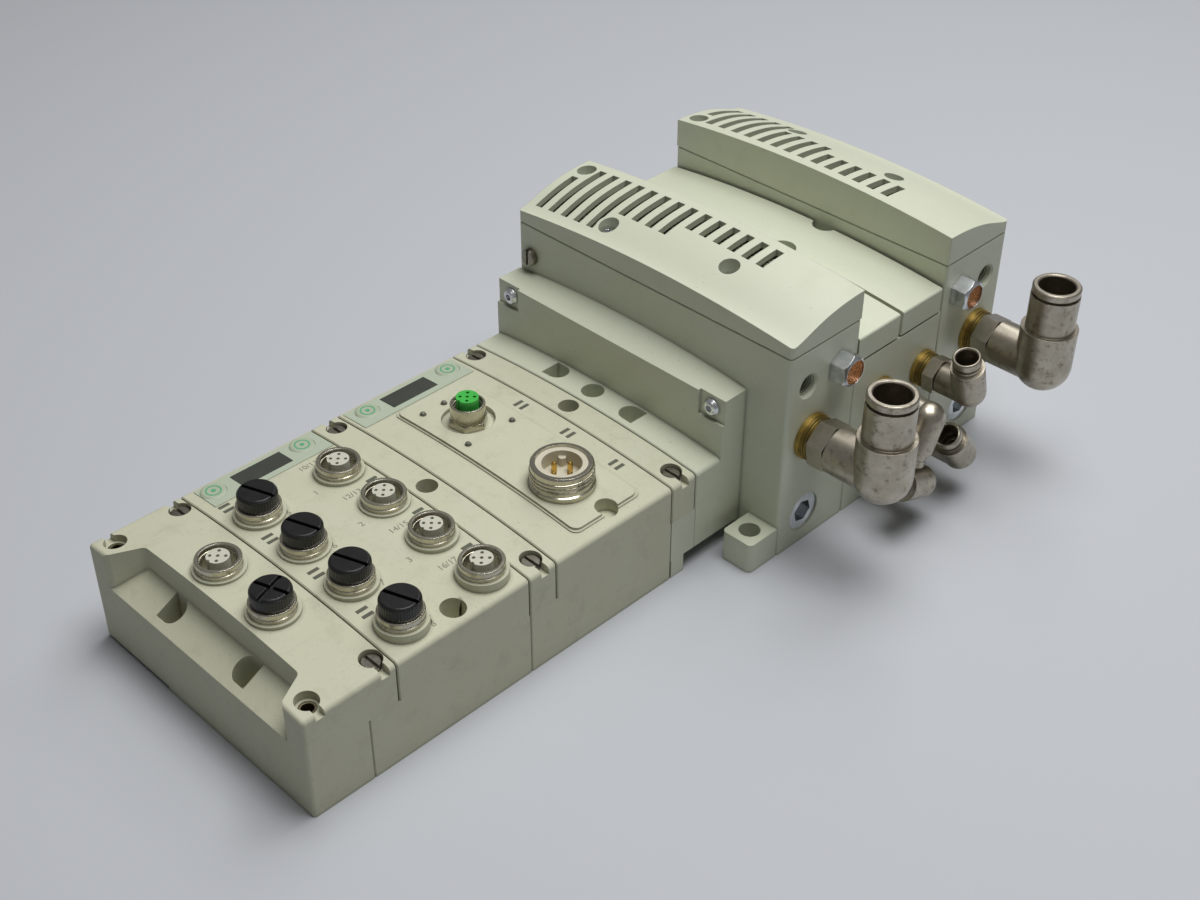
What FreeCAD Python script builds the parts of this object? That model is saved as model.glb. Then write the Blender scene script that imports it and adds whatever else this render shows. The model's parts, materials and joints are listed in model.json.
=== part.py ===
import FreeCAD, Part
import math
import os

os.makedirs("parts", exist_ok=True)

# Pneumatic valve island, in millimetres. The origin is on the base plane at the axis of the
# front foot's bolt hole, +X points out of the port face, +Y runs from the electronics to the
# rear end plate, and +Z is up.

# Overall plan
foot_hole_to_port = 7.2        # bolt hole axis to the port face
foot_hole_to_plate = 7.4       # bolt hole axis to the front end plate
valve_width = 135.3
module_width = 116.5
arch_radius = 585.0            # every top surface is a slice of the same flat arch
running_fit = 0.05             # radial play of a moving round piece
loose_fit = 0.1                # radial play of a screw in its hole
free_gap = 0.3                 # gap beside a piece that turns or slides
cutter_run = 20                # how far a cutter runs past an open side
root_depth = 12                # how far a raised form starts below the modules' crown
edge_break = 0.3               # bevel on the round connectors' metal edges

# Valve section
end_plate_depth = 37.6
station_count = 2
station_pitch = 25.4
casting_height = 85.7          # top of the end plate castings, under the covers
corner_radius = 1.6
inner_corner_radius = 1.0
block_height = 66.4
valve_depth = 23.6
valve_inset = 0.5              # start of a valve from the start of its station
valve_crown = 81.0
valve_edge = 0.9
gasket_thickness = 0.8
gasket_inset = 0.8

# Covers of the end plates
cover_front_rise = 8.7         # front edge and crest over the casting
cover_crest_rise = 15.8
cover_lead = 7.2               # where the swell of the top surface starts
cover_swell = 13.2             # where it ends
cover_root = 24
cover_lead_rise = 0.1
cover_roll = 0.3
sweep_margin = 3
cover_wall = 2.6
cover_skirt = 3.0
slot_width = 3.5
slot_pitch = 6.779
first_slot = 5.75              # first slot from the far side
slot_back = 33.3
corner_slot_back = 24.7        # the first slot stops short of the corner screw
slot_fronts = [5.1] * 5 + [15.1] * 4 + [21.9] * 6
cover_hole_radius = 3.85
cover_boss_wall = 1.3
cover_land = 5.5               # metal left under the head of a cover screw
silencer_drop = 1.0            # air gap over the silencer
cover_hole_places = [(5.5, 31.0), (39.2, 9.0), (92.4, 15.6)]

# Feet of the end plates
foot_width = 13.8
foot_reach = 14.6
foot_height = 12.7
foot_hole_radius = 4.0
foot_corner = 2.0

# Ports of the end plates, from the plate's outer face and down from the casting's top
main_port_y = 14.0
main_port_drop = 37.7
drain_y = 14.2
drain_z = 13.2                 # this one is up from the base
drain_radius = 7.7
drain_depth = 9.0
drain_hex = 8.0
drain_hex_depth = 5
drain_hex_turn = 15
drain_sunk = 0.6
gauge_y = 10.6
gauge_drop = 15.2
gauge_radius = 4.2
gauge_depth = 14.0
gauge_chamfer = 0.8
breather_y = 27.5
breather_drop = 14.2
breather_thread = 4.0
breather_thread_depth = 6.0
breather_hex = 11.2
breather_length = 7.0
breather_recess = 0.5
breather_bevel_length = 1.2
breather_bevel = 1.6
disc_radius = 4.6
disc_thickness = 2.2

# Outlets of the stations
outlet_offset = 4.0            # outlets sit behind the middle of their station
upper_outlet_z = 46.0
lower_outlet_z = 17.3

# Spool valves
spool_radius = 3.5
spool_height = 5.2             # spool axis over the gasket
spool_stroke = 3.0
spool_blind = 18.0             # metal left at the port side
spool_cap_radius = 4.4
spool_cap_thickness = 3.0
spool_groove_depth = 1.0
spool_groove_count = 5
spool_groove_width = 9.0
valve_notch_radius = 5.0
valve_notch_offset = 10.85     # notch axis from the middle of the valve section
valve_notch_depth = 8.0        # down from the valve's crown

# Tie rods
rod_radius = 3.0
rod_side = 14.0
rod_port_side = 26.0
rod_low = 22.0
rod_drop = 8.4                 # upper rod, down from the block's top
nut_hex = 10.0
nut_thickness = 5.0
nut_pocket_radius = 6.3

# Port fittings, measured out from the port face
stud_depth = 9.0
stud_ring_width = 1.8
stud_thread_end = 5.0
large_thread_radius = 8.2
large_ring_radius = 8.9
large_hex = 16.6
large_hex_end = 12.0
small_thread_radius = 6.5
small_ring_radius = 7.2
small_hex = 13.0
small_hex_end = 9.8
spigot_radius = 5.0
spigot_length = 6.0
stud_bore_radius = 3.0
stud_turn = 10
neck_gap = 0.4                 # between a stud's hexagon and its elbow

large_axis = 32.2              # barrel axis from the port face
large_radius = 10.6
large_neck_radius = 9.0
large_body_top = 16.0
large_collar_radius = 9.1
large_collar_top = 30.2
large_rim = 34.0
large_tube_radius = 6.7
small_axis = 21.8
small_radius = 6.4
small_neck_radius = 6.1
small_body_top = 12.4
small_collar_radius = 5.4
small_collar_top = 14.0
small_rim = 17.9
small_tube_radius = 4.0
collet_travel = 1.0
collet_stop_gap = 0.2
collet_wall = 0.9
large_collet_sleeve = 9.0
small_collet_sleeve = 5.0
large_tilt = 0.0
upper_tilts = [-152.0, -17.0]  # turn of the elbows from upright, as they stand in the photo
lower_tilts = [-68.0, -38.0]

# Electronics modules
module_pitch = 67.8
end_block_depth = 24.1
clip_length = 12.1
adapter_ledge = 12.4
riser_depth = 12.1
split_height = 25.3
module_crown = 44.0
module_edge = 1.8
seam_gap = 0.4                 # between the tops of neighbouring modules
seam_chamfer = 0.45
board_thickness = 1.6
board_margin = 6.5
board_ledge = 2.0
board_height = 20.0
chip_count = 4
chip_size = 10.0
chip_height = 2.2
cavity_floor = 6.0
cavity_roof = 30.0

# Slotted screws
screw_head_radius = 3.4
screw_head_height = 2.4
screw_shank_radius = 2.0
screw_slot_width = 1.1
screw_slot_depth = 1.2
screw_length = 14.0
screw_sunk = 1.0
screw_hole_radius = 3.9
screw_side_inset = 7.0
front_clip_shift = 0.7
rear_clip_shift = 0.3
screw_notch_width = 3.4
lip_screw_back = 4.6           # screws of the end block's lip, from its back edge

# Button-head screws with a hexagon socket
button_head_radius = 3.3
button_head_height = 2.2
button_socket = 2.5
button_socket_depth = 1.3
button_shank_radius = 1.8
button_length = 11.0

# End block
pocket_floor = 27.2
pocket_depth = 11.7
pocket_rise = 6.2              # the floor climbs from the front edge to the back wall
pocket_side = 10.4
pocket_taper = 6.2
pocket_flare = 1.2
pocket_corner = 2.5
front_edge = 1.4
tower_inset = 6.3
tower_y = 6.7
tower_counterbore = 4.0
tower_counterbore_depth = 3.0
insert_radius = 3.0
insert_bore = 2.1
insert_length = 12.0
recess_radius = 4.4
recess_floor = 20.0
recess_gap = 0.1               # from the pocket's back wall
fixing_radius = 2.3            # bolt hole at the bottom of a recess
recess_far_x = 37.5            # far recess from the far side
recess_near_x = 40.0           # near recess from the near side
toe_relief = 1.6
toe_length = 37.5
toe_width = 6.0

# Round connectors
boss_radius = 9.0
boss_root = 6
boss_rise = 0.8
shell_radius = 7.8
shell_bore = 6.3
shell_rise = 3.8
shell_depth = 9.0
shank_radius = 7.0
shell_groove = 0.4
shell_groove_start = 1.2
shell_groove_slope = 0.3
shell_groove_floor = 0.4
insert_pin_radius = 3.9
insert_rise = 0.5              # over the ring
insert_base = 3.0
contact_radius = 0.6
contact_circle = 2.6
contact_depth = 3.0
contact_count = 4              # round the middle one
contact_key = 1.0
cap_radius = 6.8
cap_height = 5.2
cap_plug_radius = 6.0
cap_plug_depth = 2.9
cap_bore = 4.6
cap_slot_width = 1.4
cap_slot_depth = 1.6
cap_slot_turn = 20.0
cap_chamfer = 0.7
socket_pitch = 24.8
first_socket = 12.0
socket_count = 4
capped_row_y = 24.2
open_row_y = 57.9
end_socket_y = 22.3
end_open_x = 44.0              # from the far side
end_capped_x = 43.5            # from the near side

# Small items on the module tops
window_width = 1.3
window_length = 4.2
window_sunk = 1.0
window_pitch = 3.1
window_offset = 11.6           # pair of windows from its connector
window_row_step = 5.5
open_window_step = 4.9
blind_hole_radius = 4.4
blind_hole_near = 6.7
blind_hole_depth = 9.0
blind_hole_y = 40.7
film_thickness = 0.25
film_far = 2.2
film_width = 13.2
display_width = 8.5
display_length = 21.0
display_thickness = 0.4
display_far = 4.1
button_radius = 4.6
button_far = 7.1
button_rise = 0.7
button_travel = 0.3
button_seat = 0.8              # depth of the pocket under a button
io_film_start = 16.4
io_film_length = 50.3
io_display_start = 30.0
io_buttons_y = [21.2, 59.0]
comm_film_start = 13.6
comm_film_length = 52.0
comm_display_start = 29.1
comm_buttons_y = [21.0, 59.6]

# Bus and power connectors
plate_far = 17.3
plate_near = 6.0
plate_start = 26.4
plate_length = 30.2
plate_rise = 1.2
plate_corner = 3.0
plate_bevel = 0.8
key_hole_radius = 4.1
key_hole_near = 7.7
key_hole_y = 42.7
key_hole_depth = 6.0
bus_far = 39.3
bus_y = 41.8
bus_recess_radius = 9.9
bus_recess_depth = 2.0
bus_collar_radius = 6.45
bus_collar_rise = 9.0
bus_bore = 5.6
bus_shank_radius = 5.9
bus_shank_depth = 9.0
bus_insert_radius = 4.15
bus_insert_rise = 2.5
bus_nut_hex = 12.8
bus_nut_thickness = 2.6
bus_nut_turn = 10
bus_shank_gap = 0.5
power_near = 26.8
power_y = 40.3
power_base_radius = 11.7
power_base_height = 2.0
power_radius = 11.1
power_height = 9.8
power_bore = 9.3
power_depth = 8.0
power_rim_drop = 0.8           # top of the insert below the shell's rim
power_well_radius = 7.1
power_well_drop = 6.2          # floor of the well below the rim
power_insert_thickness = 6.0   # below the floor of the well
power_key_radius = 1.4
power_pin_radius = 1.0
power_pin_circle = 3.9
power_pin_drop = 2.4           # tips below the rim
power_pin_tip = 0.6
power_pin_point = 0.4
power_pin_count = 4
comm_windows_y = 62.0
comm_windows_near = [22.0, 46.4, 70.9]
dome_radius = 1.2
domes = [(25.5, 32.1), (25.5, 42.1), (51.8, 51.8), (51.6, 30.9)]

# Adapter casting
adapter_leg_start = 0.4
adapter_leg_depth = 6.4
adapter_underside = 7.7
riser_front_drop = 20.7        # heights of the riser, down from the casting's top
riser_side_drop = 20.5
riser_crown_drop = 17.2
riser_pad_width = 11.7
riser_pad_height = 10.0
riser_pad_depth = 1.2
riser_screw_far = 7.3
riser_screw_near = 5.9
riser_screw_drop = 4.7
ledge_hole_radius = 4.35
ledge_hole_depth = 9.0
ledge_hole_y = 7.1
clip_hole_depth = 11.0
ledge_holes_far = [39.0, 57.6, 77.1]
face_screw_far = 6.8
face_screw_drop = 12.7

# Places worked out from the dimensions above
port_x = foot_hole_to_port
far_x = port_x - valve_width
near_x = far_x + module_width
valve_x = port_x - valve_width / 2
module_x = far_x + module_width / 2
front_y = foot_hole_to_plate
block_y = front_y + end_plate_depth
rear_y = block_y + station_pitch * station_count
back_y = rear_y + end_plate_depth
middle_y = (front_y + back_y) / 2
riser_y = front_y - riser_depth
ledge_y = riser_y - adapter_ledge
tongue_y = ledge_y - clip_length
comm_y = tongue_y - module_pitch
io_y = comm_y - module_pitch
end_y = io_y - end_block_depth
boss_z = module_crown + boss_rise
cover_front_height = casting_height + cover_front_rise
cover_crest_height = casting_height + cover_crest_rise
main_port_z = casting_height - main_port_drop
gauge_z = casting_height - gauge_drop
breather_z = casting_height - breather_drop
face_screw_z = casting_height - face_screw_drop
riser_front_height = casting_height - riser_front_drop
riser_side_height = casting_height - riser_side_drop
riser_crown = casting_height - riser_crown_drop
valve_notch_floor = valve_crown - valve_notch_depth
rod_high = block_height - rod_drop
recess_y = pocket_depth - recess_radius - recess_gap
large_neck_start = large_hex_end + neck_gap
small_neck_start = small_hex_end + neck_gap
gasket_top = block_height + gasket_thickness
spool_z = gasket_top + spool_height

UP = FreeCAD.Vector(0, 0, 1)
OUT = FreeCAD.Vector(1, 0, 0)
ALONG = FreeCAD.Vector(0, 1, 0)


def vec(x, y, z):
    return FreeCAD.Vector(x, y, z)


def box(x0, x1, y0, y1, z0, z1):
    return Part.makeBox(x1 - x0, y1 - y0, z1 - z0, vec(x0, y0, z0))


def rod(radius, base, direction, length):
    return Part.makeCylinder(radius, length, base, direction)


def turned(profile, base, direction):
    """A solid of revolution from (radius, height) points, with heights along direction."""
    points = [vec(r, 0, h) for r, h in profile]
    face = Part.Face(Part.makePolygon(points + points[:1]))
    solid = face.revolve(vec(0, 0, 0), UP, 360)
    solid.Placement = FreeCAD.Placement(base, FreeCAD.Rotation(UP, direction))
    return solid


def hexagon(across_flats, base, direction, length, turn=0.0):
    corner = across_flats / math.sqrt(3)
    angles = [math.radians(turn + 60 * i) for i in range(6)]
    points = [vec(corner * math.cos(a), corner * math.sin(a), 0) for a in angles]
    prism = Part.Face(Part.makePolygon(points + points[:1])).extrude(vec(0, 0, length))
    prism.Placement = FreeCAD.Placement(base, FreeCAD.Rotation(UP, direction))
    return prism


def arch_height(x, middle, crown):
    """Height of a flat arch over the base at x."""
    return crown - arch_radius + math.sqrt(arch_radius ** 2 - (x - middle) ** 2)


def arched(x0, x1, y0, y1, z0, middle, crown):
    """A block with a flat base and the arched top."""
    left = vec(x0, y0, arch_height(x0, middle, crown))
    right = vec(x1, y0, arch_height(x1, middle, crown))
    centre = (x0 + x1) / 2
    top = Part.Arc(right, vec(centre, y0, arch_height(centre, middle, crown)), left).toShape()
    sides = Part.makePolygon([left, vec(x0, y0, z0), vec(x1, y0, z0), right])
    return Part.Face(Part.Wire([top] + sides.Edges)).extrude(vec(0, y1 - y0, 0))


def module_block(x0, x1, y0, y1, z0, rise=0.0):
    return arched(x0, x1, y0, y1, z0, module_x, module_crown + rise)


def edges_along(shape, direction, keep):
    """Straight edges parallel to direction whose middle passes the test keep."""
    found = []
    for edge in shape.Edges:
        start = edge.Vertexes[0].Point
        span = edge.Vertexes[-1].Point - start
        straight = span.Length > 1e-6 and abs(span.Length - edge.Length) < 1e-6
        if straight and span.cross(direction).Length < 1e-6 * span.Length:
            if keep(start + span * 0.5):
                found.append(edge)
    return found


def round_top_edges(solid, radius, z_low):
    return solid.makeFillet(radius, edges_along(solid, ALONG, lambda p: p.z > z_low))


def end_edges(solid, y, z_low):
    """Edges in the plane at y that reach above z_low, without one that lies on z_low."""
    found = []
    for edge in solid.Edges:
        bounds = edge.BoundBox
        if abs(bounds.YMin - y) + abs(bounds.YMax - y) < 1e-4 and bounds.ZMax > z_low + 1:
            found.append(edge)
    return found


def rim_edges(solid, z):
    """Edges that lie in the level plane at z."""
    return [e for e in solid.Edges if abs(e.BoundBox.ZMin - z) + abs(e.BoundBox.ZMax - z) < 1e-4]


def upper_block(y0, y1):
    """What a module has above the split: rounded sides and softened ends."""
    block = round_top_edges(module_block(far_x, near_x, y0, y1, split_height), module_edge, split_height + 1)
    ends = end_edges(block, y0, split_height) + end_edges(block, y1, split_height)
    return block.makeChamfer(seam_chamfer, ends)


def lower_block(y0, y1, z0):
    block = box(far_x, near_x, y0, y1, z0, split_height)
    return block.makeChamfer(seam_chamfer, edges_along(block, UP, lambda p: True))


def flat_sided_hole(x, y, z, radius, side):
    """A round hole cutter from z up, squared on one side, or plain where side is 0."""
    height = module_crown + 5 - z
    hole = rod(radius, vec(x, y, z), UP, height)
    if side:
        edge = x + side * radius
        hole = hole.fuse(box(min(x, edge), max(x, edge), y - radius, y + radius, z, z + height))
    return hole


def cut_all(solid, tools):
    return solid.cut(tools) if tools else solid


def mirrored(shape):
    """The same shape at the other end of the valve section."""
    return shape.mirror(vec(0, middle_y, 0), ALONG)


def save(name, shapes):
    shape = shapes[0] if len(shapes) == 1 else Part.makeCompound(shapes)
    shape.exportStep(os.path.join("parts", name + ".step"))
    print(name, len(shape.Solids), round(shape.Volume, 1), shape.isValid())


def slotted_screw(base, direction, across):
    """A slotted screw whose head sits on base; the shank goes the other way."""
    head = turned(
        [
            (0, -screw_length),
            (screw_shank_radius, -screw_length),
            (screw_shank_radius, 0),
            (screw_head_radius, 0),
            (screw_head_radius, screw_head_height - 0.4),
            (screw_head_radius - 0.4, screw_head_height),
            (0, screw_head_height),
        ],
        base,
        direction,
    )
    side = direction.cross(across)
    floor = base + direction * (screw_head_height - screw_slot_depth)
    corner = floor - across * screw_head_radius - side * (screw_slot_width / 2)
    points = [corner, corner + across * (2 * screw_head_radius)]
    points += [points[1] + side * screw_slot_width, corner + side * screw_slot_width]
    slot = Part.Face(Part.makePolygon(points + points[:1])).extrude(direction * screw_slot_depth)
    return head.cut(slot)


def button_screw(base, direction):
    """A low round-headed screw with a hexagon socket."""
    rim = button_head_radius
    top = button_head_height
    head = turned(
        [
            (0, -button_length),
            (button_shank_radius, -button_length),
            (button_shank_radius, 0),
            (rim, 0),
            (rim, top * 0.35),
            (rim * 0.8, top * 0.85),
            (rim * 0.55, top),
            (0, top),
        ],
        base,
        direction,
    )
    floor = base + direction * (top - button_socket_depth)
    return head.cut(hexagon(button_socket, floor, direction, button_socket_depth + 1))


def screw_hole(x, y, seat, side):
    """Counterbore with its notch to the side wall, and the hole for the shank below."""
    top = module_crown + 1
    head = rod(screw_hole_radius, vec(x, y, seat), UP, top - seat)
    half = screw_notch_width / 2
    reach = x + side * (screw_side_inset + 1)
    notch = box(min(x, reach), max(x, reach), y - half, y + half, seat, top)
    shank = rod(screw_shank_radius + loose_fit, vec(x, y, seat - screw_length - 1), UP, screw_length + 2)
    return [head, notch, shank]


def side_screws(y):
    """Places of the two slotted screws beside the module edges at y."""
    places = []
    for x, side in ((near_x - screw_side_inset, 1), (far_x + screw_side_inset, -1)):
        surface = arch_height(x, module_x, module_crown)
        places.append((x, y, surface - screw_sunk - screw_head_height, side))
    return places


def lip_screws():
    places = side_screws(io_y + clip_length - lip_screw_back)
    places += side_screws(comm_y + clip_length / 2 + front_clip_shift)
    return places + side_screws(tongue_y + clip_length / 2 + rear_clip_shift)


def socket_places():
    """Axis of every dark round connector, with whether it wears a dust cap."""
    places = [(far_x + end_open_x, end_y + end_socket_y, False)]
    places.append((near_x - end_capped_x, end_y + end_socket_y, True))
    for i in range(socket_count):
        x = near_x - first_socket - i * socket_pitch
        places.append((x, io_y + open_row_y, False))
        places.append((x, io_y + capped_row_y, True))
    return places


def socket_tools(places):
    low = boss_z - shell_depth - 1
    return [rod(shank_radius + loose_fit, vec(x, y, low), UP, cutter_run) for x, y, _ in places]


def bosses(places):
    return [rod(boss_radius, vec(x, y, boss_z - boss_root), UP, boss_root) for x, y, _ in places]


def window_places():
    """Middle of every flat light window."""
    places = []
    for i in range(socket_count):
        x = near_x - first_socket - i * socket_pitch - window_offset
        places.append((x, io_y + capped_row_y - window_row_step))
        places.append((x, io_y + open_row_y + open_window_step))
    for near in comm_windows_near:
        places.append((near_x - near, comm_y + comm_windows_y))
    pairs = []
    for x, y in places:
        pairs.append((x - window_pitch / 2, y))
        pairs.append((x + window_pitch / 2, y))
    return pairs


def window(x, y, grow=0.0):
    surface = arch_height(x, module_x, module_crown)
    wide = window_width / 2 + grow
    long = window_length / 2 + grow
    return box(x - wide, x + wide, y - long, y + long, surface - window_sunk, surface + 0.1)


def button_places():
    x = far_x + button_far
    return [(x, io_y + y) for y in io_buttons_y] + [(x, comm_y + y) for y in comm_buttons_y]


def board_cavity(y0, y1):
    """Closed space of a module, narrower under the ledges that carry the board."""
    wide = box(far_x + board_margin, near_x - board_margin, y0, y1, board_height, cavity_roof)
    edge = board_margin + board_ledge
    low = box(far_x + edge, near_x - edge, y0 + board_ledge, y1 - board_ledge, cavity_floor, board_height)
    return wide.fuse(low)


def board(y0, y1):
    x0 = far_x + board_margin + free_gap
    x1 = near_x - board_margin - free_gap
    top = board_height + board_thickness
    plate = box(x0, x1, y0 + free_gap, y1 - free_gap, board_height, top)
    half = chip_size / 2
    chips = []
    for i in range(chip_count):
        x = x0 + (x1 - x0) * (i + 0.5) / chip_count
        y = (y0 + y1) / 2
        chips.append(box(x - half, x + half, y - half, y + half, top, top + chip_height))
    return plate.multiFuse(chips)


def cut_screw_holes(solid, inside):
    tools = []
    for x, y, seat, side in lip_screws():
        if inside(y):
            tools += screw_hole(x, y, seat, side)
    return cut_all(solid, tools)


def cut_shank_holes(solid):
    """Tapped holes in a module's tongue, under the lip or clip that is screwed to it."""
    tools = []
    for x, y, seat, _ in lip_screws():
        end = vec(x, y, seat - screw_length - 1)
        tools.append(rod(screw_shank_radius + loose_fit, end, UP, screw_length))
    for place in clip_screw_places():
        end = place - UP * (button_length + 1)
        tools.append(rod(button_shank_radius + loose_fit, end, UP, button_length))
    return cut_all(solid, tools)


def clip_screw_places():
    """Seats of the screws deep in the middle of the two clips."""
    z = module_crown - clip_hole_depth
    return [vec(module_x, y + clip_length / 2, z) for y in (comm_y, tongue_y)]


def pocket_tool():
    """The pocket's floor rises to the back, and its sides draw in."""
    low = pocket_floor - pocket_rise
    outline = [
        (pocket_side - pocket_flare, -1),
        (pocket_side - pocket_flare, 0),
        (pocket_side + pocket_taper * pocket_flare / pocket_depth, pocket_flare),
        (pocket_side + pocket_taper, pocket_depth),
    ]
    points = [vec(far_x + side, end_y + y, low) for side, y in outline]
    points += [vec(near_x - side, end_y + y, low) for side, y in reversed(outline)]
    room = Part.Face(Part.makePolygon(points + points[:1])).extrude(UP * module_crown)
    room = room.makeFillet(pocket_corner, edges_along(room, UP, lambda p: p.y > end_y + pocket_flare + 1))
    slope = pocket_rise / pocket_depth
    ramp = [
        vec(far_x, end_y - 2, low - 1),
        vec(far_x, end_y - 2, pocket_floor - 2 * slope),
        vec(far_x, end_y + pocket_depth + 1, pocket_floor + pocket_rise + slope),
        vec(far_x, end_y + pocket_depth + 1, low - 1),
    ]
    return room.cut(Part.Face(Part.makePolygon(ramp + ramp[:1])).extrude(OUT * module_width))


def make_end_block():
    lip_end = io_y + clip_length - seam_gap
    low = box(far_x, near_x, end_y, io_y, 0, split_height)
    low = low.makeChamfer(seam_chamfer, edges_along(low, UP, lambda p: p.y > io_y - 1))
    high = module_block(far_x, near_x, end_y, lip_end, split_height)
    high = round_top_edges(high, module_edge, split_height + 1)
    high = high.makeChamfer(seam_chamfer, end_edges(high, lip_end, split_height))
    body = low.fuse(high).removeSplitter()
    body = body.makeFillet(front_edge, end_edges(body, end_y, 0))
    tools = [pocket_tool()]
    for x, side in recess_places():
        tools.append(flat_sided_hole(x, end_y + recess_y, recess_floor, recess_radius, side))
        tools.append(rod(fixing_radius, vec(x, end_y + recess_y, -1), UP, recess_floor + 2))
    half = screw_notch_width / 2
    for x, side in tower_places():
        surface = arch_height(x, module_x, module_crown)
        seat = surface - tower_counterbore_depth
        y = end_y + tower_y
        tools.append(rod(tower_counterbore, vec(x, y, seat), UP, tower_counterbore_depth + 1))
        tools.append(rod(insert_radius + running_fit, vec(x, y, seat - insert_length), UP, insert_length + 1))
        reach = x + side * (tower_inset + 1)
        tools.append(box(min(x, reach), max(x, reach), y - half, y + half, seat, surface + 1))
    tools.append(box(far_x - 1, far_x + toe_length, end_y - 1, end_y + toe_width, -1, toe_relief))
    ends = socket_places()[:2]
    body = body.multiFuse(bosses(ends))
    body = cut_all(body, tools + socket_tools(ends))
    return cut_screw_holes(body, lambda y: y < io_y + clip_length)


def recess_places():
    return [(far_x + recess_far_x, -1), (near_x - recess_near_x, 1)]


def tower_places():
    return [(near_x - tower_inset, 1), (far_x + tower_inset, -1)]


def make_module(y0):
    upper = upper_block(y0 + clip_length, y0 + module_pitch - seam_gap)
    return upper.fuse(lower_block(y0, y0 + module_pitch, 0)).removeSplitter()


def button_pockets(y0):
    tools = []
    for x, y in button_places():
        if y0 < y < y0 + module_pitch:
            surface = arch_height(x, module_x, module_crown)
            tools.append(rod(button_radius + loose_fit, vec(x, y, surface - button_seat), UP, 5))
    return tools


def make_io_module():
    sockets = socket_places()[2:]
    body = make_module(io_y).multiFuse(bosses(sockets))
    tools = socket_tools(sockets) + button_pockets(io_y)
    tools += [window(x, y, 0.05) for x, y in window_places() if y < comm_y]
    hole_x = near_x - blind_hole_near
    hole_z = arch_height(hole_x, module_x, module_crown) - blind_hole_depth
    tools.append(rod(blind_hole_radius, vec(hole_x, io_y + blind_hole_y, hole_z), UP, cutter_run))
    tools.append(board_cavity(io_y + board_margin, comm_y - board_margin))
    return cut_shank_holes(cut_all(body, tools))


def plate_block(grow, rise):
    """The raised plate of the communication module, with its rounded corners."""
    x0 = far_x + plate_far - grow
    x1 = near_x - plate_near + grow
    y0 = comm_y + plate_start - grow
    block = module_block(x0, x1, y0, y0 + plate_length + 2 * grow, module_crown - root_depth, rise)
    corners = edges_along(block, UP, lambda p: True)
    return block.makeFillet(plate_corner, corners)


def make_comm_module():
    body = make_module(comm_y)
    raised = plate_block(0, plate_rise).fuse(plate_block(plate_bevel, plate_rise - plate_bevel))
    body = body.fuse(raised)
    bus = vec(far_x + bus_far, comm_y + bus_y, bus_floor())
    key = vec(near_x - key_hole_near, comm_y + key_hole_y, module_crown - key_hole_depth)
    power = vec(near_x - power_near, comm_y + power_y, power_seat() - power_depth)
    tools = [
        rod(bus_recess_radius, bus, UP, cutter_run),
        rod(bus_shank_radius + loose_fit, bus - UP * bus_shank_depth, UP, bus_shank_depth + 1),
        rod(key_hole_radius, key, UP, cutter_run),
        rod(power_radius - 1 + loose_fit, power, UP, cutter_run),
        rod(power_base_radius + loose_fit, power + UP * power_depth, UP, cutter_run),
    ]
    tools += button_pockets(comm_y)
    tools += [window(x, y, 0.05) for x, y in window_places() if y > comm_y]
    tools += [rod(dome_radius + running_fit, base - UP * 2, UP, cutter_run) for base in dome_bases()]
    tools.append(board_cavity(comm_y + clip_length, tongue_y - board_margin))
    return cut_shank_holes(cut_all(body, tools))


def bus_floor():
    x = far_x + bus_far
    return arch_height(x, module_x, module_crown) + plate_rise - bus_recess_depth


def power_seat():
    """The power connector stands on the lowest side of its footprint."""
    x = near_x - power_near + power_base_radius
    return arch_height(x, module_x, module_crown) + plate_rise


def dome_bases():
    bases = []
    for far, y in domes:
        x = far_x + far
        bases.append(vec(x, comm_y + y, arch_height(x, module_x, module_crown) + plate_rise))
    return bases


def make_clip(y0, y1):
    body = upper_block(y0, y1 - seam_gap)
    hole = vec(module_x, y0 + clip_length / 2, module_crown - clip_hole_depth)
    shank = rod(button_shank_radius + loose_fit, hole - UP * button_length, UP, button_length + 1)
    body = body.cut([rod(screw_hole_radius, hole, UP, clip_hole_depth + 1), shank])
    return cut_screw_holes(body, lambda y: y0 < y < y1)


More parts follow.
